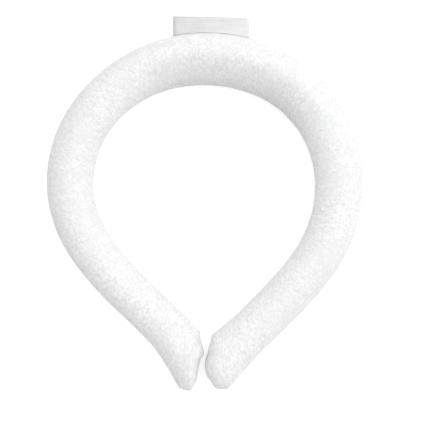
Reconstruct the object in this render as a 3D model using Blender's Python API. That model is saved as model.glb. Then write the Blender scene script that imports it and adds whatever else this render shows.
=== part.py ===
"""Cooling neck ring: a soft hollow tube bent into a teardrop loop, with a core that sets hard when
it is cold, a plug in each end where the loop closes at the front, and a flat sealed tab at the nape.

Metres, +Z up. The ring lies on its side on z = 0, with its box centred on the origin. +Y is the
nape, and -Y is the front, where the two ends meet. Left and right are as seen from above.
"""

import math
from collections import namedtuple

import bmesh
import bpy
from mathutils import Vector

# The whole ring
RING_WIDTH = 0.1612        # outside, from side to side
RING_DEPTH = 0.1827        # outside, from the front tips to the back of the tube
WIDEST = 0.577             # share of the depth from the front at which the ring is widest
TUBE_WIDTH = 0.0268        # at the nape, seen from above
TUBE_HEIGHT = 0.0255       # at the nape, standing on the floor
SKIN_WALL = 0.0010
FIT_GAP = 0.0003           # clearance between pieces that touch

# The two ends
MOUTH = 0.0059             # between the inner corners of the ends
MEETING_SHIFT = 0.0007     # of the point where the ends meet, to the right of the middle
CAP_RIM = 0.0009           # thickness of a plug at its thinnest, its rim
SLANT_RUN = 0.030          # length over which the tube's sections turn from square to the slanted end

# The tab at the nape
TAB_WIDTH = 0.0390
TAB_REACH = 0.0083         # how far it stands out past the back of the tube
TAB_THICKNESS = 0.0025
TAB_SHIFT = 0.0033         # to the right of the middle
TAB_CORNER_LEFT = 0.0008
TAB_CORNER_RIGHT = 0.0020
TAB_CORNER_STEPS = 4

# How finely the loop is faceted
SIDES = 22                 # 2 more than a multiple of 4: a flat below and a corner at each side
STEPS = (4, 10, 13, 13, 10, 4)   # sections between one knot of the route and the next
DOME_RINGS = (0.92, 0.80, 0.68, 0.58, 0.44, 0.28, 0.12)   # shares of the plug's rim

# The route of the tube's middle line, from the left end round the nape to the right end. Across and
# along are shares of the way from the end of that side to its widest point. Heading is in degrees
# from +X. The pulls are the curve's handles, as shares of the straight way to the next knot.
Knot = namedtuple("Knot", "name across along heading pull_in pull_out")
ROUTE = (
    Knot("left end", 0.0, 0.0, 126, 0.0, 0.30),
    Knot("left leg", 0.234, 0.205, 135, 0.36, 0.33),
    Knot("left side", 1.0, 1.0, 90, 0.36, 0.395),
    Knot("nape", 0.0, 1.0, 0, 0.375, 0.41),
    Knot("right side", 1.0, 1.0, -90, 0.395, 0.40),
    Knot("right leg", 0.232, 0.155, -135, 0.33, 0.33),
    Knot("right end", 0.0, 0.0, -136, 0.33, 0.0),
)
LEFT_SIDE, NAPE, RIGHT_SIDE = 2, 3, 4   # numbers of these knots, counted from 0

# The tube's section along the route. Place counts the route's knots from 0, and width and height
# are shares of the tube's at the nape.
Section = namedtuple("Section", "place width height")
SECTIONS = (
    Section(0.0, 0.96, 0.90),
    Section(0.4, 0.86, 0.90),
    Section(1.0, 0.84, 0.90),
    Section(1.5, 0.85, 0.92),
    Section(2.0, 0.89, 0.94),
    Section(2.5, 0.905, 0.97),
    Section(3.0, 1.00, 1.00),
    Section(3.5, 0.97, 0.98),
    Section(4.0, 0.91, 0.94),
    Section(4.5, 0.87, 0.92),
    Section(5.0, 0.84, 0.90),
    Section(5.5, 0.88, 0.90),
    Section(6.0, 0.95, 0.90),
)

# The domes of the two plugs, from the inner edge of the cut at -1 to its outer edge at 1. Swell is
# how far the dome stands out past the plug's rim, as a share of the tube's width there.
Dome = namedtuple("Dome", "place swell")
LEFT_DOME = (
    Dome(-1.00, 0.000),
    Dome(-0.88, 0.050),
    Dome(-0.76, 0.125),
    Dome(-0.68, 0.230),
    Dome(-0.58, 0.266),
    Dome(-0.41, 0.238),
    Dome(-0.20, 0.251),
    Dome(0.03, 0.279),
    Dome(0.27, 0.322),
    Dome(0.49, 0.300),
    Dome(0.71, 0.270),
    Dome(0.87, 0.135),
    Dome(1.00, 0.000),
)
RIGHT_DOME = (
    Dome(-1.00, 0.000),
    Dome(-0.79, 0.114),
    Dome(-0.63, 0.193),
    Dome(-0.50, 0.288),
    Dome(-0.37, 0.340),
    Dome(-0.18, 0.369),
    Dome(0.04, 0.371),
    Dome(0.32, 0.328),
    Dome(0.61, 0.275),
    Dome(0.82, 0.160),
    Dome(1.00, 0.000),
)

# The ends. Side is -1 for left. Rise is the height of the plug's inner corner over the front tip, as a
# share of the tube's width, and turn is that of the tube's cut, in degrees from the middle plane.
End = namedtuple("End", "side rise turn dome")
ENDS = {"left": End(-1, 1.13, 20, LEFT_DOME), "right": End(1, 1.055, 17, RIGHT_DOME)}

# Colour, roughness and metallic value of each piece
SKIN_FINISH = ((0.90, 0.91, 0.92), 0.42, 0.0)
FILLING_FINISH = ((0.86, 0.89, 0.91), 0.65, 0.0)
CAP_FINISH = ((0.88, 0.89, 0.90), 0.45, 0.0)
TAB_FINISH = ((0.80, 0.81, 0.82), 0.48, 0.0)

# Planes of the loop worked out from the sizes above
TOTAL_DEPTH = RING_DEPTH + TAB_REACH
FRONT = -TOTAL_DEPTH / 2
TAB_LINE = TOTAL_DEPTH / 2
BACK_LINE = FRONT + RING_DEPTH
WIDEST_LINE = FRONT + WIDEST * RING_DEPTH
RIM_LINE = CAP_RIM + FIT_GAP   # of a plug, from the tube's cut


def table_value(rows, place, column):
    """A column of a table at a place between its rows, on a smooth curve through them."""
    places = [row.place for row in rows]
    values = [getattr(row, column) for row in rows]
    last = len(rows) - 1
    low = max(i for i in range(last) if places[i] <= place)
    high = low + 1

    def slope(i):
        before, after = max(i - 1, 0), min(i + 1, last)
        return (values[after] - values[before]) / (places[after] - places[before])

    span = places[high] - places[low]
    t = (place - places[low]) / span
    return (
        values[low] * (1 + 2 * t) * (1 - t) ** 2
        + slope(low) * span * t * (1 - t) ** 2
        + values[high] * t * t * (3 - 2 * t)
        + slope(high) * span * t * t * (t - 1)
    )


def section_size(place):
    """Width and height of the tube's section."""
    width = TUBE_WIDTH * table_value(SECTIONS, place, "width")
    height = TUBE_HEIGHT * table_value(SECTIONS, place, "height")
    return width, height


def direction(degrees):
    """A level direction, in degrees from +X."""
    return Vector((math.cos(math.radians(degrees)), math.sin(math.radians(degrees)), 0))


def outward_of(ahead):
    """The outside of the loop, which is to the left of the way along the route."""
    return Vector((-ahead.y, ahead.x, 0))


def cut_line(end):
    """The level line down an end's cut, from its inner edge to its outer one."""
    turn = math.radians(end.turn)
    return Vector((end.side * math.sin(turn), -math.cos(turn), 0))


def end_knot(end):
    """The knot of the route at an end."""
    return ROUTE[0] if end.side < 0 else ROUTE[-1]


def end_place(end):
    """The place of an end on the route."""
    return 0.0 if end.side < 0 else float(len(ROUTE) - 1)


def onward(end):
    """The way out of the tube at an end."""
    return direction(end_knot(end).heading) * end.side


def inner_corner(end):
    """The inner corner of a plug, at the mouth between the ends."""
    return Vector((MEETING_SHIFT + end.side * MOUTH / 2, FRONT + end.rise * TUBE_WIDTH, 0))


def end_middle(end):
    """The middle of the tube's cut, whose inner edge is a plug's rim behind its inner corner."""
    down = cut_line(end)
    width = section_size(end_place(end))[0]
    cut_length = width / down.dot(outward_of(direction(end_knot(end).heading)))
    return inner_corner(end) - onward(end) * RIM_LINE + down * cut_length / 2


def knot_point(number):
    """Where a knot of the route stands."""
    knot = ROUTE[number]
    if number == NAPE:
        return Vector((0, BACK_LINE - section_size(NAPE)[0] / 2, 0))
    end = ENDS["left"] if number < NAPE else ENDS["right"]
    side_width = section_size(LEFT_SIDE if number < NAPE else RIGHT_SIDE)[0]
    side_x = end.side * (RING_WIDTH - side_width) / 2
    start = end_middle(end)
    return Vector((
        start.x + (side_x - start.x) * knot.across,
        start.y + (WIDEST_LINE - start.y) * knot.along,
        0,
    ))


KNOTS = [knot_point(number) for number in range(len(ROUTE))]


def route_point(place):
    """The middle line's point and its heading at a place along the route."""
    low = min(int(place), len(KNOTS) - 2)
    t = place - low
    start, stop = KNOTS[low], KNOTS[low + 1]
    way = (stop - start).length
    first = start + direction(ROUTE[low].heading) * way * ROUTE[low].pull_out
    second = stop - direction(ROUTE[low + 1].heading) * way * ROUTE[low + 1].pull_in
    a, b, c = start.lerp(first, t), first.lerp(second, t), second.lerp(stop, t)
    d, e = a.lerp(b, t), b.lerp(c, t)
    return d.lerp(e, t), (e - d).normalized()


def route_places():
    """Places of the tube's sections, an even number between each knot and the next."""
    places = [number + i / count for number, count in enumerate(STEPS) for i in range(count)]
    return places + [float(len(STEPS))]


def slant(place):
    """How far a section leans along the tube for each unit outward: all of it at an end's cut."""
    end = ENDS["left"] if place < NAPE else ENDS["right"]
    middle = route_point(end_place(end))[0]
    share = 1 - (route_point(place)[0] - middle).length / SLANT_RUN
    if share <= 0:
        return 0.0
    ahead = direction(end_knot(end).heading)
    down = cut_line(end)
    return down.dot(ahead) / down.dot(outward_of(ahead)) * share * share * (3 - 2 * share)


def oval_shares(turn):
    """Outward and upward shares of a section's half width and half height, at a turn round it."""
    return math.cos(turn), math.sin(turn) / math.cos(math.pi / SIDES)


def oval(place, inset):
    """Outward and upward offsets of a section's corners, drawn in from the tube's outside."""
    width, height = section_size(place)
    middle = height / 2
    shares = [oval_shares(2 * math.pi * i / SIDES) for i in range(SIDES)]
    return [
        ((width / 2 - inset) * out, middle + (middle - inset) * up)
        for out, up in shares
    ]


def tube_ring(place, inset, shift=0.0):
    """The corners of one section of the tube, moved along the route by shift."""
    middle, ahead = route_point(place)
    side_step = outward_of(ahead) + ahead * slant(place)
    return [
        middle + side_step * out + Vector((0, 0, up)) + ahead * shift
        for out, up in oval(place, inset)
    ]


def add_ring(bm, points):
    return [bm.verts.new(point) for point in points]


def bridge(bm, ring, following):
    """A band of faces between two rings with as many corners."""
    for i in range(len(ring)):
        j = (i + 1) % len(ring)
        bm.faces.new((ring[i], ring[j], following[j], following[i]))


def fan(bm, ring, point):
    """Triangles from a ring to one point."""
    tip = bm.verts.new(point)
    for i in range(len(ring)):
        bm.faces.new((ring[i], ring[(i + 1) % len(ring)], tip))


def material(name, finish):
    colour, roughness, metallic = finish
    made = bpy.data.materials.new(name)
    made.use_nodes = True
    shader = made.node_tree.nodes["Principled BSDF"]
    shader.inputs["Base Color"].default_value = (*colour, 1.0)
    shader.inputs["Roughness"].default_value = roughness
    shader.inputs["Metallic"].default_value = metallic
    made.diffuse_color = (*colour, 1.0)
    return made


def finish_piece(bm, name, finish, collection, sharp_degrees=40):
    """The object of a closed mesh, in its material, shaded smooth away from its edges."""
    bmesh.ops.recalc_face_normals(bm, faces=bm.faces)
    mesh = bpy.data.meshes.new(name)
    bm.to_mesh(mesh)
    bm.free()
    mesh.shade_smooth()
    mesh.set_sharp_from_angle(angle=math.radians(sharp_degrees))
    mesh.materials.append(material(name + "_material", finish))
    piece = bpy.data.objects.new(name, mesh)
    collection.objects.link(piece)
    return piece


def make_tube_skin(collection):
    """The skin runs out along its outer face and back along its inner one, open at both ends."""
    bm = bmesh.new()
    places = route_places()
    rings = [add_ring(bm, tube_ring(place, 0.0)) for place in places]
    rings += [add_ring(bm, tube_ring(place, SKIN_WALL)) for place in reversed(places)]
    for ring, following in zip(rings, rings[1:] + rings[:1]):
        bridge(bm, ring, following)
    return finish_piece(bm, "tube_skin", SKIN_FINISH, collection)


def make_cooling_filling(collection):
    """The core fills the skin, clear of its inner face, and ends flush with its two cuts."""
    bm = bmesh.new()
    places = route_places()
    rings = [add_ring(bm, tube_ring(place, SKIN_WALL + FIT_GAP)) for place in places]
    for ring, following in zip(rings, rings[1:]):
        bridge(bm, ring, following)
    for ring in (rings[0], rings[-1]):
        fan(bm, ring, sum((corner.co for corner in ring), Vector()) / len(ring))
    return finish_piece(bm, "cooling_filling", FILLING_FINISH, collection)


def dome_point(end, share, turn):
    """A point of a plug's dome, at a share of the way out to its rim and a turn round the section."""
    place = end_place(end)
    width, height = section_size(place)
    out, up = (share * part for part in oval_shares(turn))
    level = math.sqrt(1 - up ** 2)
    across = max(-1.0, min(1.0, out / level))
    reach = RIM_LINE + table_value(end.dome, across, "swell") * width * level
    middle, ahead = route_point(place)
    side_step = outward_of(ahead) + ahead * slant(place)
    point = middle + side_step * out * width / 2 + Vector((0, 0, (1 + up) * height / 2))
    to_front = (FRONT - point.y) / onward(end).y
    return point + onward(end) * min(reach, to_front)


def make_end_cap(name, end, collection):
    """A plug with its seat by the tube's cut, a thin straight rim and a dome in rings."""
    bm = bmesh.new()
    seat = tube_ring(end_place(end), 0.0, end.side * FIT_GAP)
    rim = tube_ring(end_place(end), 0.0, end.side * RIM_LINE)
    ring = add_ring(bm, seat)
    fan(bm, ring, sum(seat, Vector()) / SIDES)
    turns = [2 * math.pi * i / SIDES for i in range(SIDES)]
    domes = [[dome_point(end, share, turn) for turn in turns] for share in DOME_RINGS]
    for corners in [rim, *domes]:
        following = add_ring(bm, corners)
        bridge(bm, ring, following)
        ring = following
    fan(bm, ring, dome_point(end, 0.0, 0.0))
    return finish_piece(bm, name, CAP_FINISH, collection)


def tube_back(x):
    """The back of the tube, seen from above, at a distance from the middle."""
    corners = [tube_ring(place, 0.0)[0] for place in route_places()]
    for left, right in zip(corners, corners[1:]):
        if left.x <= x <= right.x and left.y > 0:
            return left.y + (right.y - left.y) * (x - left.x) / (right.x - left.x)
    raise ValueError("the tab is wider than the back of the ring")


def make_back_tab(collection):
    """A flat tab at half the tube's height, its root cut to the tube's curve."""
    left, right = TAB_SHIFT - TAB_WIDTH / 2, TAB_SHIFT + TAB_WIDTH / 2
    corners = [tube_ring(place, 0.0)[0] for place in route_places()]
    root = [left] + [c.x for c in corners if left < c.x < right and c.y > 0] + [right]
    height = section_size(NAPE)[1] / 2
    outline = [Vector((x, tube_back(x) + FIT_GAP, height - TAB_THICKNESS / 2)) for x in root]
    outline += [Vector((right, TAB_LINE, outline[0].z)), Vector((left, TAB_LINE, outline[0].z))]
    bm = bmesh.new()
    face = bm.faces.new(add_ring(bm, outline))
    raised = bmesh.ops.extrude_face_region(bm, geom=[face])["geom"]
    raised_corners = [item for item in raised if isinstance(item, bmesh.types.BMVert)]
    bmesh.ops.translate(bm, verts=raised_corners, vec=(0, 0, TAB_THICKNESS))
    for x, radius in ((left, TAB_CORNER_LEFT), (right, TAB_CORNER_RIGHT)):
        upright = [
            edge for edge in bm.edges
            if all(abs(v.co.x - x) < 1e-6 and abs(v.co.y - TAB_LINE) < 1e-6 for v in edge.verts)
        ]
        bmesh.ops.bevel(bm, geom=upright, offset=radius, segments=TAB_CORNER_STEPS, profile=0.5,
                        affect="EDGES", material=-1)
    return finish_piece(bm, "back_tab", TAB_FINISH, collection)


def clear_scene():
    for old in list(bpy.data.objects):
        bpy.data.objects.remove(old)


def main():
    clear_scene()
    collection = bpy.data.collections.new("cooling_neck_ring")
    bpy.context.scene.collection.children.link(collection)
    make_tube_skin(collection)
    make_cooling_filling(collection)
    for name, end in ENDS.items():
        make_end_cap("end_cap_" + name, end, collection)
    make_back_tab(collection)


main()
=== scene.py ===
"""Cooling neck ring, dressed for a photograph from straight above.

Metres, +Z up. The ring lies on its side on z = 0, with its box centred on the origin. +Y is the
nape, and -Y is the front, where the two ends meet. Left and right are as seen from above.
"""

import math
from collections import namedtuple

import bmesh
import bpy
from mathutils import Matrix, Vector, noise


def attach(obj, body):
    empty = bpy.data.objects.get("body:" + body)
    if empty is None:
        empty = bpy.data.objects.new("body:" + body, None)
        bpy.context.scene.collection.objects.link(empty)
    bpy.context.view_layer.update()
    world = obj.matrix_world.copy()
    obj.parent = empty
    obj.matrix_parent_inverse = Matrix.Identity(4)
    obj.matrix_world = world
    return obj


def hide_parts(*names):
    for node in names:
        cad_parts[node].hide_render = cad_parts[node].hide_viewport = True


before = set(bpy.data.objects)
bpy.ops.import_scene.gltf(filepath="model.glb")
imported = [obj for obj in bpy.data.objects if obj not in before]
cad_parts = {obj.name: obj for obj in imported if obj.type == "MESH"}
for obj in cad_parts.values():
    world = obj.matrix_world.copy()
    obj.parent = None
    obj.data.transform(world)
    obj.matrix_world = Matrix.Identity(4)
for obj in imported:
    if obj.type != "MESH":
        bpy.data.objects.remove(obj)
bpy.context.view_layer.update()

bl_info = {
    "name": "Cooling Neck Ring",
    "version": (1, 0, 0),
    "blender": (4, 5, 0),
    "location": "3D View > Sidebar > Neck Ring",
    "description": "Makes a soft cooling neck ring with its end plugs, its nape tab and a studio",
    "category": "Object",
}

# The route of the tube's middle line, from the left end round the nape to the right end. Across and
# along are shares of the way from the end of that side to its widest point. Heading is in degrees
# from +X. The pulls are the curve's handles, as shares of the straight way to the next knot.
Knot = namedtuple("Knot", "name across along heading pull_in pull_out")
ROUTE = (
    Knot("left end", 0.0, 0.0, 126, 0.0, 0.30),
    Knot("left leg", 0.234, 0.205, 135, 0.36, 0.33),
    Knot("left side", 1.0, 1.0, 90, 0.36, 0.395),
    Knot("nape", 0.0, 1.0, 0, 0.375, 0.41),
    Knot("right side", 1.0, 1.0, -90, 0.395, 0.40),
    Knot("right leg", 0.232, 0.155, -135, 0.33, 0.33),
    Knot("right end", 0.0, 0.0, -136, 0.33, 0.0),
)
LEFT_SIDE, NAPE, RIGHT_SIDE = 2, 3, 4   # numbers of these knots, counted from 0

# The tube's section along the route. Place counts the route's knots from 0, and width and height
# are shares of the tube's at the nape.
Section = namedtuple("Section", "place width height")
SECTIONS = (
    Section(0.0, 0.96, 0.90),
    Section(0.4, 0.86, 0.90),
    Section(1.0, 0.84, 0.90),
    Section(1.5, 0.85, 0.92),
    Section(2.0, 0.89, 0.94),
    Section(2.5, 0.905, 0.97),
    Section(3.0, 1.00, 1.00),
    Section(3.5, 0.97, 0.98),
    Section(4.0, 0.91, 0.94),
    Section(4.5, 0.87, 0.92),
    Section(5.0, 0.84, 0.90),
    Section(5.5, 0.88, 0.90),
    Section(6.0, 0.95, 0.90),
)

# The domes of the two plugs, from the inner edge of the cut at -1 to its outer edge at 1. Swell is
# how far the dome stands out past the plug's rim, as a share of the tube's width there.
Dome = namedtuple("Dome", "place swell")
LEFT_DOME = (
    Dome(-1.00, 0.000),
    Dome(-0.88, 0.050),
    Dome(-0.76, 0.125),
    Dome(-0.68, 0.230),
    Dome(-0.58, 0.266),
    Dome(-0.41, 0.238),
    Dome(-0.20, 0.251),
    Dome(0.03, 0.279),
    Dome(0.27, 0.322),
    Dome(0.49, 0.300),
    Dome(0.71, 0.270),
    Dome(0.87, 0.135),
    Dome(1.00, 0.000),
)
RIGHT_DOME = (
    Dome(-1.00, 0.000),
    Dome(-0.79, 0.114),
    Dome(-0.63, 0.193),
    Dome(-0.50, 0.288),
    Dome(-0.37, 0.340),
    Dome(-0.18, 0.369),
    Dome(0.04, 0.371),
    Dome(0.32, 0.328),
    Dome(0.61, 0.275),
    Dome(0.82, 0.160),
    Dome(1.00, 0.000),
)

# The ends. Side is -1 for left. Rise is the height of the plug's inner corner over the front tip, as a
# share of the tube's width, and turn is that of the tube's cut, in degrees from the middle plane.
End = namedtuple("End", "side rise turn dome")
ENDS = {"left": End(-1, 1.13, 20, LEFT_DOME), "right": End(1, 1.055, 17, RIGHT_DOME)}

TUBE_SIDES = 64
STEPS = (18, 48, 60, 60, 48, 18)   # sections between one knot of the route and the next
DOME_RINGS = 22                    # rings of a plug's dome, closer together towards its rim
SEAM_GAP = 0.00004                 # what is left between the welded pieces
SEAM_DEPTH = 0.00008               # of the shallow line of the weld

# The studio's light. The room glows softly all round, more from above and from the key's side.
KEY_HEADING, KEY_RISE = 38, 42     # degrees, from +X and from the floor
KEY_DISTANCE, KEY_SIZE, KEY_POWER = 1.3, 0.6, 0.8
ROOM_LEVEL, ROOM_ABOVE, ROOM_ASIDE = 0.94, 0.31, 0.35
FLOOR_GLOW = 0.32
FLOOR_REACH = 12.0                 # from its middle to each side

# The camera's long lens, straight above, and what it takes in at the tube's middle height.
CAMERA_SPOT = (0.00525, -0.00587, 1.6)
SENSOR_WIDTH = 36.0                # millimetres
VIEW_WIDTH, VIEW_LEVEL = 0.2193, 0.0125

# The soft unevenness of the tube: waves to the metre along it and across it.
LONG_WAVES = (42, 30)
SHORT_WAVES = (130, 95)
SHORT_SHIFT = 7                    # sets the short waves off from the long ones
SHORT_SHARE = 0.4                  # height of the short waves, as a share of the long ones'
SAG_SOFTNESS = 0.6                 # share of the sag over which the flat below rounds off

# Sizes of the patterns in the frosted skin.
CLOUD, CURL, GRAIN = 0.018, 0.0022, 0.0012
# Painted shade on the skin's inner half, at the nape and just past it.
SHADE_SHIFT = 0.020                 # how far past the nape the painted shade is darkest
SHADE_REACH = (0.025, 0.075)        # where the painted shade starts to fade, and where it has
INNER_HALF = (-0.002, 0.006)       # outward from the tube's middle, where it does so across
SHADE_TONE = 0.13                   # share of its lightness that the painted shade takes away

TAB_CORNER_STEPS, TAB_RIM_STEPS = 6, 4
TAB_RIM = 0.28                     # rounding of its edges, as a share of its thickness
TAB_GRID = (30, 10)                # cuts across it and along it
TAB_SHOULDER = 0.0040              # how far in the tab thins towards its sides
TAB_THINNING = 0.35                # share of its thickness that it loses there
TIP_THINNING = 0.5                 # share of that thinning that its tip has, over half the way
TAB_WELD = 0.0012                  # how far its root flares into the weld
TAB_FLARE = 0.55                   # share of its thickness that it gains there
TAB_LEAN = 0.0009                  # how much shorter it is at its right side than at its left


def blender_length(name, description, default):
    """A length that a user may set."""
    return bpy.props.FloatProperty(
        name=name, description=description, default=default, min=0.0, precision=5,
        unit="LENGTH", subtype="DISTANCE",
    )


def blender_colour(name, description, default):
    """A colour that a user may set."""
    return bpy.props.FloatVectorProperty(
        name=name, description=description, default=default, size=3, min=0.0, max=1.0,
        subtype="COLOR",
    )


class NeckRingSizes(bpy.types.PropertyGroup):
    """The sizes of the ring."""

    ring_width: blender_length("Ring width", "Outside, from side to side", 0.1612)
    ring_depth: blender_length("Ring depth", "From the front tips to the back of the tube", 0.1827)
    widest: bpy.props.FloatProperty(
        name="Widest at", description="Share of the depth at which the ring is widest",
        default=0.577, min=0.4, max=0.7, subtype="FACTOR",
    )
    tube_width: blender_length("Tube width", "At the nape, seen from above", 0.0268)
    tube_height: blender_length("Tube height", "At the nape, standing on the floor", 0.0255)
    skin_wall: blender_length("Skin", "Thickness of the soft skin", 0.0010)
    fit_gap: blender_length("Fit gap", "Clearance in the frame between its pieces", 0.0003)
    mouth: blender_length("Mouth", "Between the inner corners of the ends", 0.0059)
    meeting_shift: blender_length("Meeting shift", "Of the ends' meeting, to the right", 0.0007)
    plug_rim: blender_length("Plug rim", "Thickness of a plug at its thinnest", 0.0009)
    slant_run: blender_length("Slant run", "Length of tube that turns to the slanted cut", 0.030)
    tab_width: blender_length("Tab width", "From side to side", 0.0390)
    tab_reach: blender_length("Tab reach", "Past the back of the tube", 0.0083)
    tab_thickness: blender_length("Tab thickness", "Of both layers together", 0.0025)
    tab_shift: blender_length("Tab shift", "To the right of the middle", 0.0033)
    tab_corner_left: blender_length("Left corner", "Radius of the tab's left corner", 0.0008)
    tab_corner_right: blender_length("Right corner", "Radius of the tab's right corner", 0.0020)


class NeckRingLooks(bpy.types.PropertyGroup):
    """The colours and the softness of the ring."""

    frost: blender_colour("Frost", "Skin over the frozen crystals", (0.870, 0.871, 0.873))
    hollow: blender_colour("Shade", "Skin between the crystals", (0.730, 0.732, 0.737))
    tab: blender_colour("Tab", "The two pressed layers of the tab", (0.725, 0.727, 0.731))
    core: blender_colour("Filling", "The frozen filling", (0.780, 0.795, 0.805))
    floor: blender_colour("Floor", "The pale floor", (0.930, 0.930, 0.930))
    lump: blender_length("Lumps", "Height of the soft unevenness of the tube", 0.00022)
    sag: blender_length("Sag", "How far the tube's weight presses its underside flat", 0.00030)


def table_value(rows, place, column):
    """A column of a table at a place between its rows, on a smooth curve through them."""
    places = [row.place for row in rows]
    values = [getattr(row, column) for row in rows]
    last = len(rows) - 1
    low = max(i for i in range(last) if places[i] <= place)
    high = low + 1

    def slope(i):
        before, after = max(i - 1, 0), min(i + 1, last)
        return (values[after] - values[before]) / (places[after] - places[before])

    span = places[high] - places[low]
    t = (place - places[low]) / span
    return (
        values[low] * (1 + 2 * t) * (1 - t) ** 2
        + slope(low) * span * t * (1 - t) ** 2
        + values[high] * t * t * (3 - 2 * t)
        + slope(high) * span * t * t * (t - 1)
    )


def direction(degrees):
    """A level direction, in degrees from +X."""
    return Vector((math.cos(math.radians(degrees)), math.sin(math.radians(degrees)), 0))


def outward_of(ahead):
    """The outside of the loop, which is to the left of the way along the route."""
    return Vector((-ahead.y, ahead.x, 0))


def cut_line(end):
    """The level line down an end's cut, from its inner edge to its outer one."""
    turn = math.radians(end.turn)
    return Vector((end.side * math.sin(turn), -math.cos(turn), 0))


def columns_matrix(x_axis, y_axis, z_axis, origin):
    """The matrix that takes the axes to these vectors and the origin to this point."""
    matrix = Matrix.Identity(4)
    for i, column in enumerate((x_axis, y_axis, z_axis)):
        matrix.col[i] = (*column, 0.0)
    matrix.col[3] = (*origin, 1.0)
    return matrix


class TubeRoute:
    """The bent middle line of the tube, worked out from the ring's sizes."""

    def __init__(self, sizes):
        self.sizes = sizes
        total_depth = sizes.ring_depth + sizes.tab_reach
        self.front = -total_depth / 2
        self.tab_line = total_depth / 2
        self.back_line = self.front + sizes.ring_depth
        self.widest_line = self.front + sizes.widest * sizes.ring_depth
        self.rim_line = sizes.plug_rim + sizes.fit_gap
        self.knots = [self.knot_point(number) for number in range(len(ROUTE))]
        self.places = [n + i / count for n, count in enumerate(STEPS) for i in range(count)]
        self.places.append(float(len(STEPS)))
        points = [self.point(place)[0] for place in self.places]
        self.lengths = [0.0]
        for before, after in zip(points, points[1:]):
            self.lengths.append(self.lengths[-1] + (after - before).length)
        self.backs = [self.section_matrix(place) @ Vector((1, 0, 0)) for place in self.places]

    def section_size(self, place):
        """Width and height of the tube's section."""
        width = self.sizes.tube_width * table_value(SECTIONS, place, "width")
        height = self.sizes.tube_height * table_value(SECTIONS, place, "height")
        return width, height

    def end_knot(self, end):
        """The knot of the route at an end."""
        return ROUTE[0] if end.side < 0 else ROUTE[-1]

    def end_place(self, end):
        """The place of an end on the route."""
        return 0.0 if end.side < 0 else float(len(ROUTE) - 1)

    def onward(self, end):
        """The way out of the tube at an end."""
        return direction(self.end_knot(end).heading) * end.side

    def inner_corner(self, end):
        """The inner corner of a plug, at the mouth between the ends."""
        x = self.sizes.meeting_shift + end.side * self.sizes.mouth / 2
        return Vector((x, self.front + end.rise * self.sizes.tube_width, 0))

    def end_middle(self, end):
        """The middle of the tube's cut, whose inner edge is a plug's rim behind its inner corner."""
        down = cut_line(end)
        width = self.section_size(self.end_place(end))[0]
        cut_length = width / down.dot(outward_of(direction(self.end_knot(end).heading)))
        return self.inner_corner(end) - self.onward(end) * self.rim_line + down * cut_length / 2

    def knot_point(self, number):
        """Where a knot of the route stands."""
        knot = ROUTE[number]
        if number == NAPE:
            return Vector((0, self.back_line - self.section_size(NAPE)[0] / 2, 0))
        end = ENDS["left"] if number < NAPE else ENDS["right"]
        side_width = self.section_size(LEFT_SIDE if number < NAPE else RIGHT_SIDE)[0]
        side_x = end.side * (self.sizes.ring_width - side_width) / 2
        start = self.end_middle(end)
        return Vector((
            start.x + (side_x - start.x) * knot.across,
            start.y + (self.widest_line - start.y) * knot.along,
            0,
        ))

    def point(self, place):
        """The middle line's point and its heading at a place along the route."""
        low = min(int(place), len(self.knots) - 2)
        t = place - low
        start, stop = self.knots[low], self.knots[low + 1]
        way = (stop - start).length
        first = start + direction(ROUTE[low].heading) * way * ROUTE[low].pull_out
        second = stop - direction(ROUTE[low + 1].heading) * way * ROUTE[low + 1].pull_in
        a, b, c = start.lerp(first, t), first.lerp(second, t), second.lerp(stop, t)
        d, e = a.lerp(b, t), b.lerp(c, t)
        return d.lerp(e, t), (e - d).normalized()

    def slant(self, place):
        """How far a section leans along the tube for each unit outward."""
        end = ENDS["left"] if place < NAPE else ENDS["right"]
        middle = self.point(self.end_place(end))[0]
        share = 1 - (self.point(place)[0] - middle).length / self.sizes.slant_run
        if share <= 0:
            return 0.0
        ahead = direction(self.end_knot(end).heading)
        down = cut_line(end)
        return down.dot(ahead) / down.dot(outward_of(ahead)) * share * share * (3 - 2 * share)

    def section_matrix(self, place, inset=0.0, shift=0.0):
        """Takes a circle of radius 1 to a section of the tube, moved along it by shift."""
        middle, ahead = self.point(place)
        width, height = self.section_size(place)
        side_step = outward_of(ahead) + ahead * self.slant(place)
        return columns_matrix(
            side_step * (width / 2 - inset),
            Vector((0, 0, height / 2 - inset)),
            ahead,
            middle + Vector((0, 0, height / 2)) + ahead * shift,
        )

    def dome_reach(self, end, out, up):
        """How far a plug's dome is from the tube's cut, at shares of the section's half sizes."""
        level = math.sqrt(max(1 - up * up, 1e-9))
        across = max(-1.0, min(1.0, out / level))
        width = self.section_size(self.end_place(end))[0]
        return self.rim_line + table_value(end.dome, across, "swell") * width * level

    def length_at(self, place):
        """Length of the middle line from the left end to one of the route's sections."""
        return self.lengths[self.places.index(place)]

    def tube_back(self, x):
        """The back of the tube, seen from above, at a distance from the middle."""
        for left, right in zip(self.backs, self.backs[1:]):
            if left.x <= x <= right.x and left.y > 0:
                return left.y + (right.y - left.y) * (x - left.x) / (right.x - left.x)
        raise ValueError("the tab is wider than the back of the ring")


class Socket:
    """One output of a material's node. Python's own signs on it add Math nodes."""

    def __init__(self, surface, output):
        self.surface = surface
        self.output = output

    def math(self, operation, first, second=0.0):
        """The result of one Math node."""
        return self.surface.node("ShaderNodeMath", {"operation": operation}, {0: first, 1: second})

    def __add__(self, other):
        return self.math("ADD", self, other)

    def __sub__(self, other):
        return self.math("SUBTRACT", self, other)

    def __rsub__(self, other):
        return self.math("SUBTRACT", other, self)

    def __mul__(self, other):
        return self.math("MULTIPLY", self, other)

    def __abs__(self):
        return self.math("ABSOLUTE", self)

    __radd__ = __add__
    __rmul__ = __mul__


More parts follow.
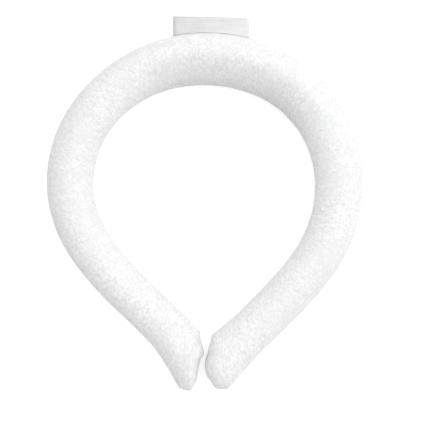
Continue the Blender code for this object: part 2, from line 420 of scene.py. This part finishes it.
class NodeTree:
    """The nodes of a material or of the world."""

    def __init__(self, tree):
        self.tree = tree

    def node(self, kind, settings, inputs, output=0):
        """An output of a new node. Its settings come first, then the values or links of its sockets."""
        made = self.tree.nodes.new(kind)
        for name, value in settings.items():
            setattr(made, name, value)
        for key, value in inputs.items():
            if isinstance(value, Socket):
                self.tree.links.new(value.output, made.inputs[key])
            else:
                made.inputs[key].default_value = value
        return Socket(self, made.outputs[output])

    def feed(self, socket, value):
        """Links a value to a socket of the shader."""
        self.tree.links.new(value.output, self.shader.inputs[socket])


class Surface(NodeTree):
    """The material of a piece, built up by its methods."""

    def __init__(self, name, constants):
        self.material = bpy.data.materials.new(name)
        self.material.use_nodes = True
        super().__init__(self.material.node_tree)
        self.shader = self.tree.nodes["Principled BSDF"]
        for socket, value in constants.items():
            self.shader.inputs[socket].default_value = value

    def place(self, attribute=None, stretch=(1.0, 1.0, 1.0)):
        """Object coordinates, or a vector of the piece's own, stretched along its axes."""
        if attribute:
            spot = self.node("ShaderNodeAttribute", {"attribute_name": attribute}, {}, "Vector")
        else:
            spot = self.node("ShaderNodeTexCoord", {}, {}, "Object")
        return self.node("ShaderNodeMapping", {}, {"Vector": spot, "Scale": stretch})

    def part(self, spot, axis):
        """One part of a vector: its X, Y or Z."""
        return self.node("ShaderNodeSeparateXYZ", {}, {"Vector": spot}, axis)

    def cloud(self, spot, size, detail=2.0, rough=0.5, twist=0.0):
        """Soft noise about 0.5, whose patches are about this size across."""
        inputs = {"Vector": spot, "Scale": 1 / size, "Detail": detail, "Roughness": rough,
                  "Distortion": twist}
        return self.node("ShaderNodeTexNoise", {}, inputs, "Fac")

    def between(self, value, low, high):
        """0 below low, 1 above high, and smooth between."""
        settings = {"interpolation_type": "SMOOTHSTEP", "clamp": True}
        return self.node("ShaderNodeMapRange", settings, {"Value": value, "From Min": low,
                                                          "From Max": high}, "Result")

    def mix(self, share, low, high):
        """A colour between two colours."""
        settings = {"data_type": "RGBA"}
        inputs = {"Factor": share, 6: opaque(low), 7: opaque(high)}
        return self.node("ShaderNodeMix", settings, inputs, 2)

    def bump(self, height, distance, strength=1.0, under=None):
        """The normal of a surface with this relief."""
        inputs = {"Height": height, "Distance": distance, "Strength": strength}
        if under:
            inputs["Normal"] = under
        return self.node("ShaderNodeBump", {}, inputs, "Normal")


def shaded(colour, factor):
    """A colour made darker or lighter."""
    return tuple(min(1.0, part * factor) for part in colour)


def opaque(colour):
    """A colour with its alpha, or a colour's socket as it is."""
    return colour if isinstance(colour, Socket) else (*colour, 1.0)


def frosted_skin(name, looks, nape):
    """Milky soft plastic over a frozen filling: fine curling crystals, grain and faint clouds.

    Painted shade darkens the inner half a little, at the nape's length and just past it.
    """
    surface = Surface(name, {
        "Subsurface Weight": 0.10, "Subsurface Radius": (1.0, 1.0, 1.0),
        "Subsurface Scale": 0.0015, "IOR": 1.48, "Specular IOR Level": 0.30,
    })
    spot = surface.place("straight")
    across = surface.place("straight", (1.0, 0.5, 0.5))
    clouds = surface.cloud(spot, CLOUD, 3.0, 0.55)
    curls = surface.cloud(across, CURL, 2.0, 0.55, 1.8)
    grain = surface.cloud(spot, GRAIN, 1.0, 0.5, 0.6)
    frozen = surface.between(clouds, 0.30, 0.66) * 0.7 + 0.45
    # Painted shade: the inner half near the nape is darkened towards black.
    from_darkest = abs(surface.part(spot, "X") - (nape + SHADE_SHIFT))
    inner_half = 1 - surface.between(surface.part(spot, "Y"), *INNER_HALF)
    painted_shade = (1 - surface.between(from_darkest, *SHADE_REACH)) * inner_half
    crystals = (curls - 0.5) * 0.55 + (grain - 0.5) * 0.45
    frost = crystals * frozen + (clouds - 0.5) * 0.10 + 0.5
    milky = surface.mix(surface.between(frost, 0.35, 0.65), looks.hollow, looks.frost)
    surface.feed("Base Color", surface.mix(painted_shade * SHADE_TONE, milky, (0.0, 0.0, 0.0)))
    surface.feed("Roughness", 0.46 + grain * 0.14)
    relief = surface.bump(grain, 0.00030, 0.8)
    relief = surface.bump(curls, 0.00055, 0.8, relief)
    surface.feed("Normal", relief)
    return surface.material


def pressed_tab(name, looks, left, tip):
    """Two layers of the skin, pressed together: greyer, with faint lines of the press.

    They are pressed thinner along their left side and their tip, and darker along their tip.
    Painted shade darkens their left side, and painted light makes them paler towards the right.
    """
    surface = Surface(name, {"IOR": 1.48, "Specular IOR Level": 0.35, "Subsurface Weight": 0.05,
                             "Subsurface Radius": (1.0, 1.0, 1.0), "Subsurface Scale": 0.002})
    spot = surface.place()
    lines = surface.cloud(surface.place(stretch=(0.06, 1.0, 1.0)), 0.0012, 2.0, 0.6)
    patches = surface.cloud(spot, 0.007, 2.0, 0.5)
    grain = surface.cloud(spot, 0.0009, 2.0, 0.6)
    # Darker and lighter copies of the tab's colour: between them lie its streaks and its painted light
    # and shade.
    dark, light = shaded(looks.tab, 0.76), shaded(looks.tab, 1.08)
    rightward = surface.part(spot, "X") - left
    # Painted shade along the tab's left side.
    left_painted_shade = 1 - surface.between(rightward, 0.0006, 0.0022)
    tip_rim = 1 - surface.between(tip - surface.part(spot, "Y"), 0.0004, 0.0013)
    streaks = (lines - 0.5) * 0.30 + (patches - 0.5) * 0.25 + (grain - 0.5) * 0.25
    # Painted light: the tab grows paler towards its right.
    rightward_painted_light = surface.between(rightward, 0.004, 0.042)
    # Painted light and shade on the tab: paler towards the right, darker along its left side; darker
    # along its tip too.
    tone = streaks + rightward_painted_light * 0.16 + 0.36 - left_painted_shade * 0.32 - tip_rim * 0.42
    surface.feed("Base Color", surface.mix(surface.between(tone, 0.05, 0.75), dark, light))
    surface.feed("Roughness", 0.42 + patches * 0.14)
    surface.feed("Normal", surface.bump(lines, 0.0002, 0.6, surface.bump(grain, 0.0002, 0.5)))
    return surface.material


def frozen_core(name, looks):
    """The waxy filling in its frozen state, with its crystals."""
    surface = Surface(name, {"Subsurface Weight": 0.2, "Subsurface Radius": (1.0, 1.0, 1.0),
                             "Subsurface Scale": 0.003})
    spot = surface.place()
    crystals = abs(surface.cloud(spot, 0.004, 3.0, 0.6, 1.2) - 0.5)
    patches = surface.cloud(spot, 0.012, 2.0)
    pale = shaded(looks.core, 1.1)
    surface.feed("Base Color", surface.mix(surface.between(patches, 0.3, 0.7), looks.core, pale))
    surface.feed("Roughness", 0.5 + patches * 0.3)
    surface.feed("Normal", surface.bump(crystals, 0.0008, 0.6))
    return surface.material


def plain_stage(name, colour):
    """The floor's own finish, with hardly any grain."""
    surface = Surface(name, {"Specular IOR Level": 0.1, "Emission Strength": FLOOR_GLOW,
                             "Emission Color": (1.0, 1.0, 1.0, 1.0)})
    grain = surface.cloud(surface.place(), 0.004, 2.0)
    surface.feed("Base Color", surface.mix(grain, colour, shaded(colour, 1.01)))
    surface.feed("Roughness", 0.85 + grain * 0.1)
    return surface.material


def add_circle(bm, matrix):
    """The corners and the edges of a round section, in the same order in each run."""
    corners = bmesh.ops.create_circle(bm, segments=TUBE_SIDES, radius=1.0, matrix=matrix)["verts"]
    return corners, list(dict.fromkeys(edge for corner in corners for edge in corner.link_edges))


def loft(bm, rings, closed=False):
    """Bands of faces from each ring to the next, and from the last to the first if closed."""
    following = rings[1:] + rings[:1] if closed else rings[1:]
    for ring, after in zip(rings, following):
        bmesh.ops.bridge_loops(bm, edges=ring + after)


def settle(height, sag):
    """The height of a point once the tube's own weight has pressed its underside flat."""
    lowered = height - sag
    soft = sag * SAG_SOFTNESS
    return (lowered + math.sqrt(lowered * lowered + soft * soft)) / 2


def lump(spot, height):
    """Soft unevenness of the tube, at a point of the straightened tube."""
    along, across = LONG_WAVES
    long_wave = noise.noise(Vector((spot.x * along, spot.y * across, spot.z * across)))
    along, across = SHORT_WAVES
    start = SHORT_SHIFT
    short_wave = noise.noise(Vector((spot.x * along + start, spot.y * across, spot.z * across)))
    return height * (long_wave + SHORT_SHARE * short_wave)


def finish_piece(bm, name, material, replaced, sharp_degrees=40):
    """The object of a closed mesh, in its material and on the ring's one body."""
    mesh = bpy.data.meshes.new(name)
    bm.to_mesh(mesh)
    bm.free()
    mesh.shade_smooth()
    mesh.set_sharp_from_angle(angle=math.radians(sharp_degrees))
    mesh.materials.append(material)
    piece = bpy.data.objects.new(name, mesh)
    bpy.context.scene.collection.objects.link(piece)
    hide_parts(replaced)
    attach(piece, "root")
    return piece


def face_outward(bm):
    """Welds doubled corners and turns every face of a closed mesh outwards."""
    bmesh.ops.remove_doubles(bm, verts=bm.verts, dist=1e-6)
    bmesh.ops.recalc_face_normals(bm, faces=bm.faces)


class NECKRING_OT_skin(bpy.types.Operator):
    """Make the soft tube, hollow and open at its two cuts"""

    bl_idname = "neck_ring.skin"
    bl_label = "Soft Skin"

    def execute(self, context):
        sizes, looks = context.scene.neck_ring_sizes, context.scene.neck_ring_looks
        route = TubeRoute(sizes)
        bm = bmesh.new()
        straight = bm.verts.layers.float_vector.new("straight")
        outer = [self.section(bm, straight, route, place, 0.0, looks) for place in route.places]
        inner = [
            self.section(bm, straight, route, place, sizes.skin_wall, looks)
            for place in reversed(route.places)
        ]
        loft(bm, outer + inner, closed=True)
        face_outward(bm)
        material = frosted_skin("milky_skin", looks, route.length_at(NAPE))
        piece = finish_piece(bm, "soft_skin", material, "tube_skin")
        return {"FINISHED"}

    def section(self, bm, straight, route, place, inset, looks):
        """The edges of one section, uneven on its outside and pressed flat below."""
        end = ENDS["left"] if place < NAPE else ENDS["right"]
        at_end = place in (0.0, route.places[-1])
        reach = (route.sizes.fit_gap - SEAM_GAP) / 2 if at_end else 0.0
        matrix = route.section_matrix(place, inset, end.side * reach)
        local = matrix.inverted()
        width, height = route.section_size(place)
        corners, edges = add_circle(bm, matrix)
        for corner in corners:
            turned = local @ corner.co
            spot = Vector((route.length_at(place), turned.x * width / 2, turned.y * height / 2))
            corner[straight] = spot
            if inset == 0.0:
                outward = matrix.to_3x3() @ Vector((turned.x, turned.y, 0))
                swell = lump(spot, looks.lump) - (SEAM_DEPTH if at_end else 0.0)
                corner.co += outward.normalized() * swell
            corner.co.z = inset + settle(corner.co.z - inset, looks.sag)
        return edges


class NECKRING_OT_filling(bpy.types.Operator):
    """Give the frozen filling inside the skin its crystals"""

    bl_idname = "neck_ring.filling"
    bl_label = "Frozen Filling"

    def execute(self, context):
        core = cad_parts["cooling_filling"]
        material = frozen_core("frozen_filling", context.scene.neck_ring_looks)
        core.material_slots[0].material = material
        return {"FINISHED"}


class NECKRING_OT_plugs(bpy.types.Operator):
    """Make the domed plug that is welded onto each end of the tube"""

    bl_idname = "neck_ring.plugs"
    bl_label = "End Plugs"

    def execute(self, context):
        sizes, looks = context.scene.neck_ring_sizes, context.scene.neck_ring_looks
        route = TubeRoute(sizes)
        material = frosted_skin("milky_plug", looks, route.length_at(NAPE))
        for side, end in ENDS.items():
            bm = self.plug(route, end, looks)
            finish_piece(bm, "end_plug_" + side, material, "end_cap_" + side)
        return {"FINISHED"}

    def plug(self, route, end, looks):
        """Its seat by the tube's cut, its slim rim, and its dome drawn in ring by ring to a pole."""
        bm = bmesh.new()
        straight = bm.verts.layers.float_vector.new("straight")
        seat = self.ring(bm, straight, route, end, 1.0, looks, seated=True)
        rings = [seat]
        for i in range(DOME_RINGS):
            share = math.cos(math.pi / 2 * i / DOME_RINGS)
            rings.append(self.ring(bm, straight, route, end, share, looks))
        loft(bm, rings)
        pole = bmesh.ops.edgeloop_fill(bm, edges=rings[-1])["faces"]
        bmesh.ops.poke(bm, faces=pole)
        bmesh.ops.edgeloop_fill(bm, edges=seat)
        face_outward(bm)
        return bm

    def ring(self, bm, straight, route, end, share, looks, seated=False):
        """The edges of one ring of a plug, at a share of the way out from its pole to its rim."""
        place = route.end_place(end)
        matrix = route.section_matrix(place)
        local = matrix.inverted()
        onward = route.onward(end)
        width, height = route.section_size(place)
        corners, edges = add_circle(bm, matrix @ Matrix.Diagonal((share, share, 1.0, 1.0)))
        for corner in corners:
            out, up = (local @ corner.co).xy
            reach = route.dome_reach(end, out, up)
            if seated:
                reach = (route.sizes.fit_gap + SEAM_GAP) / 2
            along = route.length_at(place) + reach * end.side
            corner[straight] = (along, out * width / 2, up * height / 2)
            swell = lump(corner[straight], looks.lump) - (SEAM_DEPTH if seated else 0.0)
            outward = matrix.to_3x3() @ Vector((out, up, 0))
            corner.co += outward.normalized() * swell * share
            reach = min(reach, (route.front - corner.co.y) / onward.y)
            corner.co += onward * reach
            corner.co.z = settle(corner.co.z, looks.sag)
        return edges


class NECKRING_OT_tab(bpy.types.Operator):
    """Make the flat sealed tab at the nape"""

    bl_idname = "neck_ring.tab"
    bl_label = "Nape Tab"

    def execute(self, context):
        sizes, looks = context.scene.neck_ring_sizes, context.scene.neck_ring_looks
        route = TubeRoute(sizes)
        bm = self.slab(sizes)
        self.crown(bm, sizes)
        self.fit_to_tube(bm, route)
        face_outward(bm)
        left = sizes.tab_shift - sizes.tab_width / 2
        material = pressed_tab("pressed_tab", looks, left, route.tab_line)
        finish_piece(bm, "nape_tab", material, "back_tab", 60)
        return {"FINISHED"}

    def slab(self, sizes):
        """A flat slab about z = 0 with its root on y = 0, its outer corners and its rim rounded."""
        half, reach, thick = sizes.tab_width / 2, sizes.tab_reach, sizes.tab_thickness
        bm = bmesh.new()
        plan = columns_matrix(
            Vector((half, 0, 0)), Vector((0, reach / 2, 0)), Vector((0, 0, 1)),
            Vector((0, reach / 2, -thick / 2)),
        )
        bmesh.ops.create_grid(bm, x_segments=1, y_segments=1, size=1.0, matrix=plan)
        for x, radius in ((-half, sizes.tab_corner_left), (half, sizes.tab_corner_right)):
            corner = min(bm.verts, key=lambda v: (v.co.xy - Vector((x, reach))).length)
            bmesh.ops.bevel(bm, geom=[corner], offset=radius, segments=TAB_CORNER_STEPS,
                            profile=0.5, affect="VERTICES", material=-1)
        raised = bmesh.ops.extrude_face_region(bm, geom=bm.faces[:])["geom"]
        top = [item for item in raised if isinstance(item, bmesh.types.BMVert)]
        bmesh.ops.translate(bm, verts=top, vec=(0, 0, thick))
        face_outward(bm)
        rim = [
            edge for edge in bm.edges
            if abs(edge.verts[0].co.z - edge.verts[1].co.z) < 1e-7
            and max(vert.co.y for vert in edge.verts) > 1e-6
        ]
        bmesh.ops.bevel(bm, geom=rim, offset=thick * TAB_RIM, segments=TAB_RIM_STEPS, profile=0.5,
                        affect="EDGES", material=-1)
        columns, rows = TAB_GRID
        for axis, start, step, count in (
            (Vector((1, 0, 0)), -half, sizes.tab_width / columns, columns),
            (Vector((0, 1, 0)), 0.0, reach / rows, rows),
        ):
            for i in range(1, count):
                bmesh.ops.bisect_plane(bm, geom=bm.verts[:] + bm.edges[:] + bm.faces[:],
                                       plane_co=axis * (start + i * step), plane_no=axis)
        return bm

    def crown(self, bm, sizes):
        """Thins the slab towards its two sides and flares its root into the weld."""
        half, reach = sizes.tab_width / 2, sizes.tab_reach
        for vert in bm.verts:
            near_side = min((half - abs(vert.co.x)) / TAB_SHOULDER, 1.0)
            near_root = max(1 - vert.co.y / TAB_WELD, 0.0)
            near_tip = min((reach - vert.co.y) / (TAB_SHOULDER / 2), 1.0)
            thinned = 1 - TAB_THINNING * ((1 - near_side) ** 2 + TIP_THINNING * (1 - near_tip) ** 2)
            vert.co.z *= thinned + TAB_FLARE * near_root * near_root

    def fit_to_tube(self, bm, route):
        """Moves the slab to the nape and draws its root onto the tube's back."""
        sizes = route.sizes
        width, height = route.section_size(NAPE)
        for vert in bm.verts:
            share = vert.co.y / sizes.tab_reach
            x = vert.co.x + sizes.tab_shift
            round_away = width / 2 * (1 - math.sqrt(1 - (2 * vert.co.z / height) ** 2))
            root = route.tube_back(x) + SEAM_GAP - round_away
            tip = route.tab_line - TAB_LEAN * (0.5 + vert.co.x / sizes.tab_width)
            vert.co = Vector((x, root + (tip - root) * share, vert.co.z + height / 2))


class NECKRING_OT_stage(bpy.types.Operator):
    """Lay the pale floor and set up the studio light and the camera"""

    bl_idname = "neck_ring.stage"
    bl_label = "Studio"

    def execute(self, context):
        scene = context.scene
        looks = scene.neck_ring_looks
        bm = bmesh.new()
        bmesh.ops.create_grid(bm, x_segments=1, y_segments=1, size=FLOOR_REACH)
        mesh = bpy.data.meshes.new("floor")
        bm.to_mesh(mesh)
        bm.free()
        mesh.materials.append(plain_stage("pale_floor", looks.floor))
        floor = bpy.data.objects.new("floor", mesh)
        scene.collection.objects.link(floor)
        floor.visible_diffuse = False
        self.light_world(scene)
        towards = direction(KEY_HEADING) * math.cos(math.radians(KEY_RISE))
        towards.z = math.sin(math.radians(KEY_RISE))
        self.add_light("key_light", towards * KEY_DISTANCE, KEY_SIZE, KEY_POWER)
        self.add_camera(scene)
        return {"FINISHED"}

    def light_world(self, scene):
        """Soft light all round, brighter from above and from the key's side, on a white wall."""
        world = bpy.data.worlds.new("studio")
        world.use_nodes = True
        background = world.node_tree.nodes["Background"]
        nodes = NodeTree(world.node_tree)
        way = nodes.node("ShaderNodeTexCoord", {}, {}, "Generated")
        rise = direction(KEY_HEADING) * ROOM_ASIDE + Vector((0, 0, ROOM_ABOVE))
        glow = nodes.node("ShaderNodeVectorMath", {"operation": "DOT_PRODUCT"}, {0: way, 1: rise},
                          "Value") + ROOM_LEVEL
        seen = nodes.node("ShaderNodeLightPath", {}, {}, "Is Camera Ray")
        strength = seen + (1 - seen) * glow
        world.node_tree.links.new(strength.output, background.inputs["Strength"])
        background.inputs["Color"].default_value = (1.0, 1.0, 1.0, 1.0)
        scene.world = world
        scene.view_settings.view_transform = "Standard"

    def add_light(self, name, place, size, power):
        """A square lamp that shines on the ring."""
        light = bpy.data.lights.new(name, "AREA")
        light.size = size
        light.energy = power
        lamp = bpy.data.objects.new(name, light)
        lamp.location = place
        lamp.rotation_euler = (-place).to_track_quat("-Z", "Y").to_euler()
        bpy.context.scene.collection.objects.link(lamp)

    def add_camera(self, scene):
        """A long lens straight above, its picture's top towards the nape."""
        data = bpy.data.cameras.new("camera")
        data.sensor_width = SENSOR_WIDTH
        data.lens = SENSOR_WIDTH * (CAMERA_SPOT[2] - VIEW_LEVEL) / VIEW_WIDTH
        data.clip_end = 100.0
        camera = bpy.data.objects.new("camera", data)
        camera.location = CAMERA_SPOT
        scene.collection.objects.link(camera)
        scene.camera = camera


OPERATORS = (
    NECKRING_OT_skin, NECKRING_OT_filling, NECKRING_OT_plugs, NECKRING_OT_tab, NECKRING_OT_stage,
)


class NECKRING_PT_panel(bpy.types.Panel):
    """The ring's pieces and its studio"""

    bl_idname = "NECKRING_PT_panel"
    bl_label = "Cooling Neck Ring"
    bl_space_type = "VIEW_3D"
    bl_region_type = "UI"
    bl_category = "Neck Ring"

    def draw(self, context):
        for operator in OPERATORS:
            self.layout.operator(operator.bl_idname)
        for group in (context.scene.neck_ring_sizes, context.scene.neck_ring_looks):
            for name in group.__annotations__:
                self.layout.prop(group, name)


CLASSES = (NeckRingSizes, NeckRingLooks, *OPERATORS, NECKRING_PT_panel)


def register():
    for made in CLASSES:
        bpy.utils.register_class(made)
    bpy.types.Scene.neck_ring_sizes = bpy.props.PointerProperty(type=NeckRingSizes)
    bpy.types.Scene.neck_ring_looks = bpy.props.PointerProperty(type=NeckRingLooks)


def unregister():
    del bpy.types.Scene.neck_ring_looks
    del bpy.types.Scene.neck_ring_sizes
    for made in reversed(CLASSES):
        bpy.utils.unregister_class(made)


def main():
    """Makes the ring and its studio."""
    register()
    bpy.ops.neck_ring.skin()
    bpy.ops.neck_ring.filling()
    bpy.ops.neck_ring.plugs()
    bpy.ops.neck_ring.tab()
    bpy.ops.neck_ring.stage()


if __name__ == "__main__":
    main()
